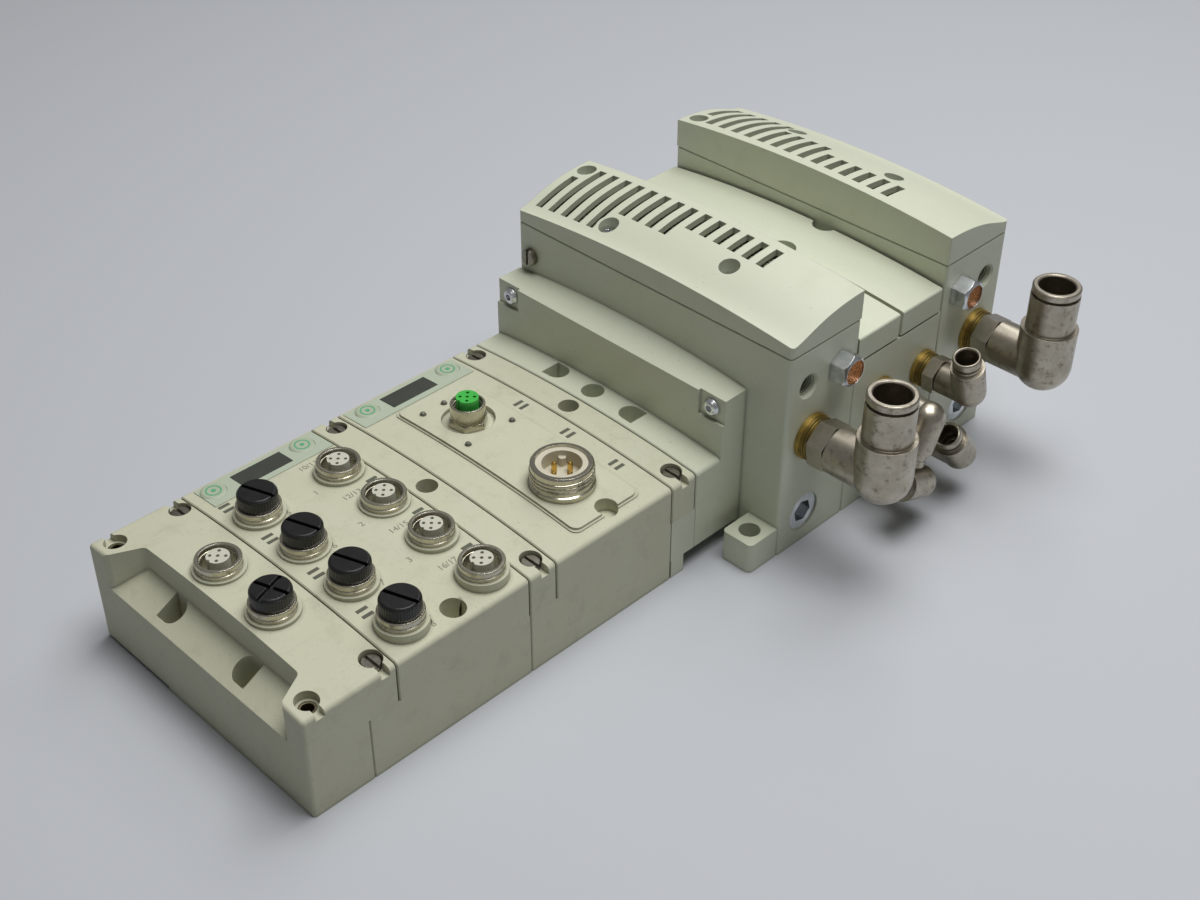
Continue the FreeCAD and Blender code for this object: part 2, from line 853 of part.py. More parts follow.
def make_adapter():
    ledge = module_block(far_x, near_x, ledge_y, riser_y + 1, adapter_underside)
    ledge = round_top_edges(ledge, module_edge, split_height + 1)
    ledge = ledge.makeChamfer(seam_chamfer, end_edges(ledge, ledge_y, split_height))
    tongue = box(far_x, near_x, tongue_y, ledge_y, adapter_underside, split_height)
    leg_y = tongue_y + adapter_leg_start
    leg = box(far_x, near_x, leg_y, leg_y + adapter_leg_depth, 0, split_height)
    low = adapter_underside
    front = [vec(far_x, riser_y, low), vec(near_x, riser_y, low)]
    front += [vec(near_x, riser_y, riser_front_height), vec(far_x, riser_y, riser_front_height)]
    back = [vec(far_x, front_y, low), vec(near_x, front_y, low)]
    back += [vec(near_x, front_y, riser_side_height), vec(far_x, front_y, riser_side_height)]
    crest = Part.Arc(back[2], vec(module_x, front_y, riser_crown), back[3]).toShape()
    front_wire = Part.makePolygon(front + front[:1])
    lower = Part.makePolygon([back[3], back[0], back[1], back[2]])
    back_wire = Part.Wire([lower.Edges[1], lower.Edges[2], crest, lower.Edges[0]])
    riser = Part.makeLoft([front_wire, back_wire], True, True)
    body = ledge.multiFuse([tongue, leg, riser]).removeSplitter()
    tools = []
    for i, far in enumerate(ledge_holes_far):
        x = far_x + far
        z = arch_height(x, module_x, module_crown) - ledge_hole_depth
        tools.append(flat_sided_hole(x, ledge_y + ledge_hole_y, z, ledge_hole_radius, i - 1))
    for x0, x1 in ((far_x - 1, far_x + riser_pad_width), (near_x - riser_pad_width, near_x + 1)):
        low = riser_front_height - riser_pad_height
        tools.append(box(x0, x1, riser_y - 1, riser_y + riser_pad_depth, low, riser_front_height + 5))
    for x, z in riser_screw_places():
        base = vec(x, riser_y, z)
        tools.append(rod(button_shank_radius + loose_fit, base, ALONG, riser_depth + 1))
    return cut_shank_holes(cut_all(body, tools))


def riser_screw_places():
    z = riser_front_height - riser_screw_drop
    return [(far_x + riser_screw_far, z), (near_x - riser_screw_near, z)]


def cover_body(drop, x0, x1, y0, y1, z0):
    """Everything under the cover's swelling, arched top surface lowered by drop."""
    low = cover_front_height - cover_root - drop
    front = cover_front_height - drop
    crest = cover_crest_height - drop
    poles = [vec(valve_x, front_y, front), vec(valve_x, front_y + cover_lead, front + cover_lead_rise)]
    poles += [vec(valve_x, front_y + cover_swell, crest - cover_roll), vec(valve_x, block_y, crest)]
    curve = Part.BezierCurve()
    curve.setPoles(poles)
    rest = Part.makePolygon([poles[3], vec(valve_x, block_y, low), vec(valve_x, front_y, low), poles[0]])
    face = Part.Face(Part.Wire([curve.toShape()] + rest.Edges))
    axis = vec(valve_x, front_y, cover_crest_height - arch_radius)
    half_turn = math.degrees(math.asin((valve_width / 2 + sweep_margin) / (arch_radius - cover_root)))
    face.rotate(axis, ALONG, -half_turn)
    swept = face.revolve(axis, ALONG, 2 * half_turn)
    return swept.common(box(x0, x1, y0, y1, z0, cover_crest_height + cutter_run))


def cover_holes():
    return [(far_x + far, front_y + y) for far, y in cover_hole_places]


def make_cover():
    body = cover_body(0, far_x, port_x, front_y, block_y, casting_height)
    outer = edges_along(body, UP, lambda p: p.y < front_y + 1)
    body = body.makeFillet(corner_radius, outer)
    body = body.makeChamfer(seam_chamfer, rim_edges(body, casting_height))
    last_slot = far_x + first_slot + slot_pitch * (len(slot_fronts) - 1)
    width = cover_hole_radius + cover_boss_wall
    posts = [rod(width, vec(x, y, 0), UP, 2 * cover_crest_height) for x, y in cover_holes()]
    cavity = cover_body(
        cover_wall,
        far_x + cover_skirt,
        last_slot + slot_width + cover_skirt,
        front_y + cover_skirt,
        block_y - cover_skirt,
        casting_height,
    ).cut(posts)
    slots = []
    for i, start in enumerate(slot_fronts):
        x = far_x + first_slot + slot_pitch * i
        stop = corner_slot_back if i == 0 else slot_back
        slots.append(slot_tool(x, front_y + start, front_y + stop))
    slots = Part.makeCompound(slots).cut(posts)
    tools = [cavity, slots]
    for x, y in cover_holes():
        tools.append(rod(cover_hole_radius, vec(x, y, casting_height + cover_land), UP, cover_crest_height))
        tools.append(rod(button_shank_radius + loose_fit, vec(x, y, casting_height - 1), UP, cutter_run))
    return body.cut(tools)


def slot_tool(x, y0, y1):
    """A slot cutter that stands on the casting."""
    half = slot_width / 2
    return box(x - half, x + half, y0, y1, casting_height + 1, cover_crest_height + cutter_run)


def make_silencer():
    last_slot = far_x + first_slot + slot_pitch * (len(slot_fronts) - 1)
    inset = cover_skirt + free_gap
    body = cover_body(
        cover_wall + silencer_drop,
        far_x + inset,
        last_slot + slot_width + cover_skirt - free_gap,
        front_y + inset,
        block_y - inset,
        casting_height,
    )
    gap = cover_hole_radius + cover_boss_wall + free_gap
    return body.cut([rod(gap, vec(x, y, 0), UP, 2 * cover_crest_height) for x, y in cover_holes()])


def rod_places():
    return [(far_x + rod_side, rod_low), (port_x - rod_port_side, rod_low), (valve_x, rod_high)]


def rod_holes(y0, y1):
    return [rod(rod_radius + loose_fit, vec(x, y0, z), ALONG, y1 - y0) for x, z in rod_places()]


def make_end_plate():
    """Front end plate without its foot; the rear one is its mirror image."""
    body = box(far_x, port_x, front_y, block_y, 0, casting_height)
    body = body.makeFillet(corner_radius, edges_along(body, UP, lambda p: p.y < front_y + 1))
    body = body.makeFillet(inner_corner_radius, edges_along(body, UP, lambda p: p.y > block_y - 1))
    body = body.makeChamfer(seam_chamfer, rim_edges(body, casting_height))
    inward = vec(-1, 0, 0)
    main = vec(port_x + 1, front_y + main_port_y, main_port_z)
    drain = vec(port_x + 1, front_y + drain_y, drain_z)
    gauge = vec(port_x + 1, front_y + gauge_y, gauge_z)
    breather = vec(port_x + 1, front_y + breather_y, breather_z)
    tools = [
        rod(large_thread_radius + loose_fit, main, inward, stud_depth + 2),
        rod(drain_radius + loose_fit, drain, inward, drain_depth + 1),
        rod(gauge_radius, gauge, inward, gauge_depth + 1),
        rod(breather_thread + loose_fit, breather, inward, breather_thread_depth + 2),
        Part.makeCone(gauge_radius + gauge_chamfer + 1, gauge_radius, gauge_chamfer + 1, gauge, inward),
    ]
    tools += rod_holes(front_y - 1, block_y + 1)
    for x, z in rod_places():
        tools.append(rod(nut_pocket_radius, vec(x, front_y - 1, z), ALONG, nut_thickness + 1))
    for x, y in cover_holes():
        depth = button_length - cover_land
        tools.append(rod(button_shank_radius + loose_fit, vec(x, y, casting_height - depth), UP, depth + 1))
    return body.cut(tools)


def front_plate_holes():
    """Holes of the front plate alone, for the riser's screws and the screw beside the cover."""
    tools = []
    for x, z in riser_screw_places():
        tools.append(rod(button_shank_radius + loose_fit, vec(x, front_y - 1, z), ALONG, 6))
    shank = vec(far_x + face_screw_far, front_y - 1, face_screw_z)
    return tools + [rod(screw_shank_radius + loose_fit, shank, ALONG, screw_length + 2)]


def make_foot(x, y, side):
    """A bolt-down foot that reaches out along side from the plate's face."""
    out = foot_hole_to_plate * side
    y0, y1 = sorted((y + out, y + out - side * foot_reach))
    block = box(x - foot_width / 2, x + foot_width / 2, y0, y1, 0, foot_height)
    outer = edges_along(block, UP, lambda p: (p.y - y) * side < 0)
    return block.makeFillet(foot_corner, outer)


def make_manifold_block():
    body = box(far_x, port_x, block_y, rear_y, 0, block_height)
    body = body.makeFillet(inner_corner_radius, edges_along(body, UP, lambda p: True))
    tools = rod_holes(block_y - 1, rear_y + 1)
    for y, z, _ in outlet_places():
        port = vec(port_x + 1, y, z)
        tools.append(rod(small_thread_radius + loose_fit, port, vec(-1, 0, 0), stud_depth + 2))
    tools.append(valve_screw_hole())
    return body.cut(tools)


def outlet_places():
    """Axis of each outlet with the tilt of its elbow."""
    places = []
    for i in range(station_count):
        y = block_y + station_pitch * (i + 0.5) + outlet_offset
        places.append((y, upper_outlet_z, upper_tilts[i]))
        places.append((y, lower_outlet_z, lower_tilts[i]))
    return places


def valve_screw_place():
    gap_y = block_y + station_pitch + valve_inset - (station_pitch - valve_depth) / 2
    return vec(valve_x + valve_notch_offset, gap_y, valve_notch_floor)


def valve_screw_hole():
    place = valve_screw_place()
    return rod(button_shank_radius + loose_fit, place - UP * button_length, UP, button_length + 5)


def make_valve(station):
    y0 = block_y + station_pitch * station + valve_inset
    y1 = y0 + valve_depth
    body = arched(far_x, port_x, y0, y1, gasket_top, valve_x, valve_crown)
    body = round_top_edges(body, valve_edge, gasket_top + 1)
    spool_y = (y0 + y1) / 2
    start = vec(far_x - 1, spool_y, spool_z)
    length = valve_width - spool_blind
    tools = [rod(spool_radius + running_fit, start, OUT, length + 1)]
    tools.append(rod(spool_cap_radius + loose_fit, start, OUT, spool_cap_thickness + 1))
    tools.append(valve_screw_hole())
    for edge_y in (y0 - valve_inset, y1 + (station_pitch - valve_depth) / 2):
        notch = vec(valve_x + valve_notch_offset, edge_y, valve_notch_floor)
        tools.append(rod(valve_notch_radius, notch, UP, cutter_run))
    return body.cut(tools)


def make_spool(station):
    y = block_y + station_pitch * station + valve_inset + valve_depth / 2
    length = valve_width - spool_blind - spool_cap_thickness - spool_stroke - free_gap
    base = vec(far_x + spool_cap_thickness + free_gap / 2, y, spool_z)
    body = rod(spool_radius, base, OUT, length)
    grooves = []
    step = length / spool_groove_count
    for i in range(spool_groove_count):
        start = base + OUT * (step * (i + 0.5) - spool_groove_width / 2)
        ring = rod(spool_radius + 1, start, OUT, spool_groove_width)
        grooves.append(ring.cut(rod(spool_radius - spool_groove_depth, start, OUT, spool_groove_width)))
    return body.cut(grooves)


def make_gasket(station):
    y0 = block_y + station_pitch * station + valve_inset + gasket_inset
    y1 = y0 + valve_depth - 2 * gasket_inset
    plate = box(far_x + gasket_inset, port_x - gasket_inset, y0, y1, block_height, gasket_top)
    return plate.cut(valve_screw_hole())


def make_breather(y):
    base = vec(port_x, y, breather_z)
    body = hexagon(breather_hex, base, OUT, breather_length)
    corner = breather_hex / math.sqrt(3)
    dome = turned(
        [
            (0, 0),
            (corner, 0),
            (corner, breather_length - breather_bevel_length),
            (corner - breather_bevel, breather_length),
            (0, breather_length),
        ],
        base,
        OUT,
    )
    body = body.common(dome)
    body = body.fuse(rod(breather_thread, base - OUT * breather_thread_depth, OUT, breather_thread_depth + 1))
    recess = base + OUT * (breather_length - breather_recess - disc_thickness)
    return body.cut(rod(disc_radius + loose_fit, recess, OUT, cutter_run))


def make_disc(y):
    start = port_x + breather_length - breather_recess - disc_thickness
    return rod(disc_radius, vec(start, y, breather_z), OUT, disc_thickness)


def make_plug(y):
    start = port_x - drain_depth
    body = rod(drain_radius, vec(start, y, drain_z), OUT, drain_depth - drain_sunk)
    socket = vec(port_x - drain_sunk - drain_hex_depth, y, drain_z)
    return body.cut(hexagon(drain_hex, socket, OUT, cutter_run, drain_hex_turn))


def make_stud(y, z, large):
    """Threaded stud with its sealing ring, hexagon and the spigot that the elbow turns on."""
    if large:
        ring, thread, flats, end = large_ring_radius, large_thread_radius, large_hex, large_hex_end
    else:
        ring, thread, flats, end = small_ring_radius, small_thread_radius, small_hex, small_hex_end
    base = vec(port_x, y, z)
    tip = end + neck_gap + spigot_length
    body = turned(
        [
            (0, -stud_depth),
            (thread, -stud_depth),
            (thread, 0),
            (ring, 0),
            (ring, stud_ring_width),
            (thread, stud_ring_width),
            (thread, stud_thread_end),
            (spigot_radius, stud_thread_end),
            (spigot_radius, tip),
            (0, tip),
        ],
        base,
        OUT,
    )
    nut = hexagon(flats, base + OUT * stud_thread_end, OUT, end - stud_thread_end, stud_turn)
    bore = rod(stud_bore_radius, base - OUT * (stud_depth + 1), OUT, stud_depth + tip + 2)
    return body.fuse(nut).cut(bore)


def elbow_numbers(large):
    if large:
        return (large_axis, large_radius, large_neck_radius, large_neck_start, large_body_top,
                large_collar_radius, large_collar_top, large_rim, large_tube_radius, large_collet_sleeve)
    return (small_axis, small_radius, small_neck_radius, small_neck_start, small_body_top,
            small_collar_radius, small_collar_top, small_rim, small_tube_radius, small_collet_sleeve)


def place_fitting(shape, y, z, tilt):
    shape.rotate(vec(0, 0, 0), OUT, -tilt)
    shape.translate(vec(port_x, y, z))
    return shape


def make_elbow(y, z, tilt, large):
    axis, radius, neck, start, top, collar, collar_top, rim, tube, sleeve = elbow_numbers(large)
    centre = vec(axis, 0, 0)
    dome = Part.makeSphere(radius, centre)
    barrel = rod(radius, centre, UP, top)
    upper = rod(collar, centre, UP, collar_top)
    arm = rod(neck, vec(start, 0, 0), OUT, axis - start)
    body = dome.multiFuse([barrel, upper, arm])
    flow = min(tube - 1.5, neck - 2)
    seat = collar_top - sleeve - collet_travel - 1
    tools = [
        rod(spigot_radius + running_fit, vec(start - 1, 0, 0), OUT, spigot_length + 2),
        rod(stud_bore_radius, vec(start, 0, 0), OUT, axis - start),
        rod(flow, centre, UP, rim),
        rod(tube + collet_wall + running_fit, centre + UP * seat, UP, rim),
    ]
    return place_fitting(body.cut(tools), y, z, tilt)


def make_collet(y, z, tilt, large):
    axis, radius, neck, start, top, collar, collar_top, rim, tube, sleeve = elbow_numbers(large)
    under = collar_top + collet_travel + collet_stop_gap
    flange = collar - 0.15
    body = turned(
        [
            (tube, collar_top - sleeve),
            (tube + collet_wall, collar_top - sleeve),
            (tube + collet_wall, under),
            (flange, under),
            (flange, rim - 0.5),
            (flange - 0.5, rim),
            (tube + 0.5, rim),
            (tube, rim - 0.5),
        ],
        vec(axis, 0, 0),
        UP,
    )
    return place_fitting(body, y, z, tilt)


def make_shell(x, y):
    """Metal ring of a round connector, screwed into the housing."""
    low = boss_z - shell_depth
    top = boss_z + shell_rise
    groove = boss_z + shell_groove_start
    back = groove + 2 * shell_groove_slope + shell_groove_floor
    return turned(
        [
            (shell_bore, low),
            (shank_radius, low),
            (shank_radius, boss_z),
            (shell_radius, boss_z),
            (shell_radius, groove),
            (shell_radius - shell_groove, groove + shell_groove_slope),
            (shell_radius - shell_groove, back - shell_groove_slope),
            (shell_radius, back),
            (shell_radius, top - edge_break),
            (shell_radius - edge_break, top),
            (shell_bore + edge_break, top),
            (shell_bore, top - edge_break),
        ],
        vec(x, y, 0),
        UP,
    )


def make_insert(x, y, low, height, base_radius, pin_radius):
    """Contact carrier with a centre contact hole and four round it."""
    body = turned(
        [
            (0, low),
            (base_radius, low),
            (base_radius, low + insert_base),
            (pin_radius, low + insert_base),
            (pin_radius, height),
            (0, height),
        ],
        vec(x, y, 0),
        UP,
    )
    holes = [rod(contact_radius, vec(x, y, height - contact_depth), UP, contact_depth + 1)]
    for i in range(contact_count):
        angle = 2 * math.pi * (i + 0.5) / contact_count
        side = vec(contact_circle * math.cos(angle), contact_circle * math.sin(angle), 0)
        place = vec(x, y, height - contact_depth) + side
        holes.append(rod(contact_radius, place, UP, contact_depth + 1))
    half = contact_key / 2
    key = box(x - half, x + half, y - pin_radius - 1, y - pin_radius + half, low + insert_base, height + 1)
    return body.cut(holes + [key])


def make_cap(x, y, crossed):
    seat = boss_z + shell_rise
    top = seat + cap_height
    body = turned(
        [
            (cap_bore, seat - cap_plug_depth),
            (cap_plug_radius, seat - cap_plug_depth),
            (cap_plug_radius, seat),
            (cap_radius, seat),
            (cap_radius, top - cap_chamfer),
            (cap_radius - cap_chamfer, top),
            (0, top),
            (0, seat + 1),
            (cap_bore, seat + 1),
        ],
        vec(x, y, 0),
        UP,
    )
    half = cap_slot_width / 2
    slot = box(-cap_radius, cap_radius, -half, half, top - cap_slot_depth, top + 1)
    slots = [slot.copy()]
    if crossed:
        slots.append(slot.copy())
        slots[1].rotate(vec(0, 0, 0), UP, 90)
    for cutter in slots:
        cutter.rotate(vec(0, 0, 0), UP, cap_slot_turn)
        cutter.translate(vec(x, y, 0))
    return body.cut(slots)


def make_film(start, length, display_start):
    x0 = far_x + film_far
    x1 = x0 + film_width
    outer = module_block(x0, x1, start, start + length, module_crown - root_depth, film_thickness)
    sheet = outer.cut(module_block(far_x - 1, near_x + 1, start - 1, start + length + 1, 0))
    high = module_crown + cutter_run
    tools = [rod(button_radius + loose_fit, vec(x, y, 0), UP, high) for x, y in button_places()]
    tools.append(display_block(display_start, running_fit, cutter_run))
    return sheet.cut(tools)


def display_block(start, grow, rise):
    x0 = far_x + display_far - grow
    x1 = x0 + display_width + 2 * grow
    y1 = start + display_length + grow
    return module_block(x0, x1, start - grow, y1, module_crown - root_depth, rise)


def make_display(start):
    below = module_block(far_x - 1, near_x + 1, start - 1, start + display_length + 1, 0)
    return display_block(start, 0, display_thickness).cut(below)


def make_button(x, y):
    surface = arch_height(x, module_x, module_crown)
    low = surface - button_seat + button_travel
    return turned(
        [
            (0, low),
            (button_radius, low),
            (button_radius, surface + button_rise - 0.4),
            (button_radius - 0.8, surface + button_rise),
            (0, surface + button_rise),
        ],
        vec(x, y, 0),
        UP,
    )


def make_bus_shell():
    floor = bus_floor()
    low = floor - bus_shank_depth + bus_shank_gap
    shoulder = floor + bus_nut_thickness
    top = floor + bus_collar_rise
    hold = bus_insert_radius + running_fit
    return turned(
        [
            (hold, low),
            (bus_shank_radius, low),
            (bus_shank_radius, shoulder),
            (bus_collar_radius, shoulder),
            (bus_collar_radius, top - edge_break),
            (bus_collar_radius - edge_break, top),
            (bus_bore, top),
            (bus_bore, shoulder),
            (hold, shoulder),
        ],
        vec(far_x + bus_far, comm_y + bus_y, 0),
        UP,
    )


def make_bus_nut():
    base = vec(far_x + bus_far, comm_y + bus_y, bus_floor())
    body = hexagon(bus_nut_hex, base, UP, bus_nut_thickness, bus_nut_turn)
    return body.cut(rod(bus_shank_radius + loose_fit, base - UP, UP, cutter_run))


def make_bus_insert():
    floor = bus_floor()
    top = floor + bus_collar_rise + bus_insert_rise
    low = floor - bus_shank_depth + bus_shank_gap
    x = far_x + bus_far
    y = comm_y + bus_y
    return make_insert(x, y, low, top, bus_insert_radius, bus_insert_radius)


def make_power_shell():
    seat = power_seat()
    top = seat + power_height
    shank = power_radius - 1
    return turned(
        [
            (power_bore, seat - power_depth + 0.5),
            (shank, seat - power_depth + 0.5),
            (shank, seat),
            (power_base_radius, seat),
            (power_base_radius, seat + power_base_height),
            (power_radius, seat + power_base_height + 0.4),
            (power_radius, top - 0.5),
            (power_radius - 0.5, top),
            (power_bore, top),
        ],
        vec(near_x - power_near, comm_y + power_y, 0),
        UP,
    )


def power_floor():
    """Floor of the well between the pins."""
    return power_seat() + power_height - power_well_drop


def make_power_insert():
    """Contact carrier with a wide well, and the key on the well's wall."""
    x = near_x - power_near
    y = comm_y + power_y
    floor = power_floor()
    low = floor - power_insert_thickness
    top = power_seat() + power_height - power_rim_drop
    body = rod(power_bore - running_fit, vec(x, y, low), UP, top - low)
    body = body.cut(rod(power_well_radius, vec(x, y, floor), UP, power_well_drop))
    back = (power_well_radius - power_key_radius / 2) * math.sqrt(0.5)
    key = rod(power_key_radius, vec(x - back, y + back, floor - 1), UP, (top - floor) * 0.8)
    holes = [rod(power_pin_radius + running_fit, vec(px, py, low - 1), UP, top) for px, py in power_pins()]
    return body.fuse(key).cut(holes)


def power_pins():
    x = near_x - power_near
    y = comm_y + power_y
    angles = [2 * math.pi * i / power_pin_count for i in range(power_pin_count)]
    return [(x + power_pin_circle * math.cos(a), y + power_pin_circle * math.sin(a)) for a in angles]


def make_power_pin(x, y):
    low = power_floor() - power_insert_thickness
    top = power_seat() + power_height - power_pin_drop
    shoulder = top - power_pin_tip
    edge = [(power_pin_radius, low), (power_pin_radius, shoulder), (power_pin_point, top)]
    profile = [(0, low)] + edge + [(0, top)]
    return turned(profile, vec(x, y, 0), UP)


def make_dome(base):
    low = base - UP * 2
    return rod(dome_radius, low, UP, 2).fuse(Part.makeSphere(dome_radius, base)).removeSplitter()


def make_tie_rod(x, z):
    y0 = front_y + 0.5
    return rod(rod_radius, vec(x, y0, z), ALONG, back_y - front_y - 1)


def make_nut(x, y, z):
    base = vec(x, y, z)
    hole = rod(rod_radius + running_fit, base, ALONG, cutter_run)
    return hexagon(nut_hex, base, ALONG, nut_thickness - 1).cut(hole)


def main_ports():
    near = front_y + main_port_y
    return [near, 2 * middle_y - near]


def slotted_screws():
    screws = [slotted_screw(vec(x, y, seat), UP, OUT) for x, y, seat, _ in lip_screws()]
    face = vec(far_x + face_screw_far, front_y, face_screw_z)
    return screws + [slotted_screw(face, vec(0, -1, 0), UP)]


def button_screws():
    screws = []
    for x, z in riser_screw_places():
        screws.append(button_screw(vec(x, riser_y + riser_pad_depth, z), vec(0, -1, 0)))
    cover = [button_screw(vec(x, y, casting_height + cover_land), UP) for x, y in cover_holes()]
    screws += cover + [mirrored(screw) for screw in cover]
    screws += [button_screw(place, UP) for place in clip_screw_places()]
    return screws + [button_screw(valve_screw_place(), UP)]


def save_electronics():
    save("end_block", [make_end_block()])
    save("io_module", [make_io_module()])
    save("comm_module", [make_comm_module()])
    save("joiner_clip_front", [make_clip(comm_y, comm_y + clip_length)])
    save("joiner_clip_rear", [make_clip(tongue_y, ledge_y)])
    save("io_circuit_board", [board(io_y + board_margin, comm_y - board_margin)])
    save("comm_circuit_board", [board(comm_y + clip_length, tongue_y - board_margin)])
    inserts = []
    for x, _ in tower_places():
        seat = arch_height(x, module_x, module_crown) - tower_counterbore_depth
        base = vec(x, end_y + tower_y, seat - insert_length)
        inserts.append(rod(insert_radius, base, UP, insert_length).cut(rod(insert_bore, base, UP, 30)))
    save("threaded_inserts", inserts)
    sockets = socket_places()
    low = boss_z - shell_depth
    height = boss_z + shell_rise + insert_rise
    save("socket_shells", [make_shell(x, y) for x, y, _ in sockets])
    base = shell_bore - running_fit
    save("socket_inserts", [make_insert(x, y, low, height, base, insert_pin_radius) for x, y, _ in sockets])
    capped = [(x, y) for x, y, has_cap in sockets if has_cap]
    for i, (x, y) in enumerate(capped):
        save("dust_cap_%d" % (i + 1), [make_cap(x, y, i == 0)])
    windows = [window(x, y) for x, y in window_places()]
    save("light_guides", windows + [make_dome(base) for base in dome_bases()])
    io_film = make_film(io_y + io_film_start, io_film_length, io_y + io_display_start)
    comm_film = make_film(comm_y + comm_film_start, comm_film_length, comm_y + comm_display_start)
    save("label_films", [io_film, comm_film])
    displays = [make_display(start) for start in (io_y + io_display_start, comm_y + comm_display_start)]
    save("display_windows", displays)
    for i, (x, y) in enumerate(button_places()):
        save("button_%d" % (i + 1), [make_button(x, y)])
    save("bus_socket_shell", [make_bus_shell()])
    save("bus_socket_nut", [make_bus_nut()])
    save("bus_socket_insert", [make_bus_insert()])
    save("power_shell", [make_power_shell()])
    save("power_insert", [make_power_insert()])
    save("power_pins", [make_power_pin(x, y) for x, y in power_pins()])


def save_valve_section():
    plate = make_end_plate()
    front = plate.cut(front_plate_holes()).fuse(make_foot(0, 0, 1)).removeSplitter()
    foot_hole = rod(foot_hole_radius, vec(0, 0, -1), UP, foot_height + 2)
    save("front_end_plate", [front.cut(foot_hole)])
    rear_x = far_x + foot_width / 2
    rear_foot_y = back_y + foot_hole_to_plate
    rear_hole = rod(foot_hole_radius, vec(rear_x, rear_foot_y, -1), UP, foot_height + 2)
    rear = mirrored(plate).fuse(make_foot(rear_x, rear_foot_y, -1)).removeSplitter()
    save("rear_end_plate", [rear.cut(rear_hole)])
    cover = make_cover()
    silencer = make_silencer()
    save("front_cover", [cover])
    save("rear_cover", [mirrored(cover)])
    save("silencers", [silencer, mirrored(silencer)])
    save("manifold_block", [make_manifold_block()])
    caps = []
    for i in range(station_count):
        save("valve_body_%d" % (i + 1), [make_valve(i)])
        save("spool_%d" % (i + 1), [make_spool(i)])
        y = block_y + station_pitch * i + valve_inset + valve_depth / 2
        caps.append(rod(spool_cap_radius, vec(far_x, y, spool_z), OUT, spool_cap_thickness))
    save("spool_end_caps", caps)
    save("valve_gaskets", [make_gasket(i) for i in range(station_count)])
    rods = [make_tie_rod(x, z) for x, z in rod_places()]
    nuts = [make_nut(x, front_y + 1, z) for x, z in rod_places()]
    save("tie_rods", rods + nuts + [mirrored(nut) for nut in nuts])
    breather = front_y + breather_y
    breathers = [breather, 2 * middle_y - breather]
    save("breather_bodies", [make_breather(y) for y in breathers])
    save("breather_discs", [make_disc(y) for y in breathers])
    drain = front_y + drain_y
    save("port_plugs", [make_plug(y) for y in (drain, 2 * middle_y - drain)])
    outlets = outlet_places()
    studs = [make_stud(y, main_port_z, True) for y in main_ports()]
    save("port_studs", studs + [make_stud(y, z, False) for y, z, _ in outlets])
    for i, y in enumerate(main_ports()):
        save("large_elbow_%d" % (i + 1), [make_elbow(y, main_port_z, large_tilt, True)])
        save("large_collet_%d" % (i + 1), [make_collet(y, main_port_z, large_tilt, True)])
    for i, (y, z, tilt) in enumerate(outlets):
        save("small_elbow_%d" % (i + 1), [make_elbow(y, z, tilt, False)])
        save("small_collet_%d" % (i + 1), [make_collet(y, z, tilt, False)])


save_electronics()
save("adapter", [make_adapter()])
save("slotted_screws", slotted_screws())
save("button_screws", button_screws())
save_valve_section()
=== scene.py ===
import json
import math

import bpy
from mathutils import Matrix, Vector
from mathutils.bvhtree import BVHTree


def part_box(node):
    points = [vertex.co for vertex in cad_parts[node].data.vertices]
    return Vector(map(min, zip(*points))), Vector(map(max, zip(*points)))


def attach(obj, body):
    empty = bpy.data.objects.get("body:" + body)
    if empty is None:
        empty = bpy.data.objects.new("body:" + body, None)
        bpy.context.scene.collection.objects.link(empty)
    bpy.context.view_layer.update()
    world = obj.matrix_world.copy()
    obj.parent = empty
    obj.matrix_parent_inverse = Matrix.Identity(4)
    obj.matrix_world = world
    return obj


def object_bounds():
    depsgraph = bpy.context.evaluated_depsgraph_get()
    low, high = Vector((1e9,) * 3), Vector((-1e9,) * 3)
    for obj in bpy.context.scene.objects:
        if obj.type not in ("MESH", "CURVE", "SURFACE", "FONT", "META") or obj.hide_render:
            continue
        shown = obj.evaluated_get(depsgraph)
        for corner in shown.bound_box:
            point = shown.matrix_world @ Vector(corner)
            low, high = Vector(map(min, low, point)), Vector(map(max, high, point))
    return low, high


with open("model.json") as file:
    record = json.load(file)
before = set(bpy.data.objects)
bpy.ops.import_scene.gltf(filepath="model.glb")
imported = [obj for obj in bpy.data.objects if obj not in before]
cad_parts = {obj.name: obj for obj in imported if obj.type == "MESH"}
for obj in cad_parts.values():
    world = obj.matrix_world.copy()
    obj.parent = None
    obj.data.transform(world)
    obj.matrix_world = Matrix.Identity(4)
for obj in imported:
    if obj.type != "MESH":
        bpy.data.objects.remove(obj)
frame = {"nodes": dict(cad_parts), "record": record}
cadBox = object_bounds()
nodes = frame["nodes"]
mm = 0.001


# a shader value that takes part in plain arithmetic
class Value:
    def __init__(self, graph, socket):
        self.graph = graph
        self.socket = socket

    def calc(self, operation, *others, clamp=False):
        settings = {"operation": operation, "use_clamp": clamp}
        values = {i: v for i, v in enumerate((self,) + others)}
        return self.graph.node("ShaderNodeMath", settings, values)["Value"]

    def __add__(self, other):
        return self.calc("ADD", other)

    __radd__ = __add__

    def __sub__(self, other):
        return self.calc("SUBTRACT", other)

    def __rsub__(self, other):
        return self.graph.node("ShaderNodeMath", {"operation": "SUBTRACT"}, {0: other, 1: self})["Value"]

    def __mul__(self, other):
        return self.calc("MULTIPLY", other)

    def __truediv__(self, other):
        return self.calc("DIVIDE", other)

    def clamped(self):
        return self.calc("ADD", 0.0, clamp=True)

    def above(self, edge, soft):  # 0 below the edge and 1 above it, over a soft width
        return ((self - (edge - soft / 2)) / soft).clamped()


# what one node gives, read by output name
class Outputs:
    def __init__(self, graph, node):
        self.graph = graph
        self.node = node

    def __getitem__(self, name):
        return Value(self.graph, self.node.outputs[name])


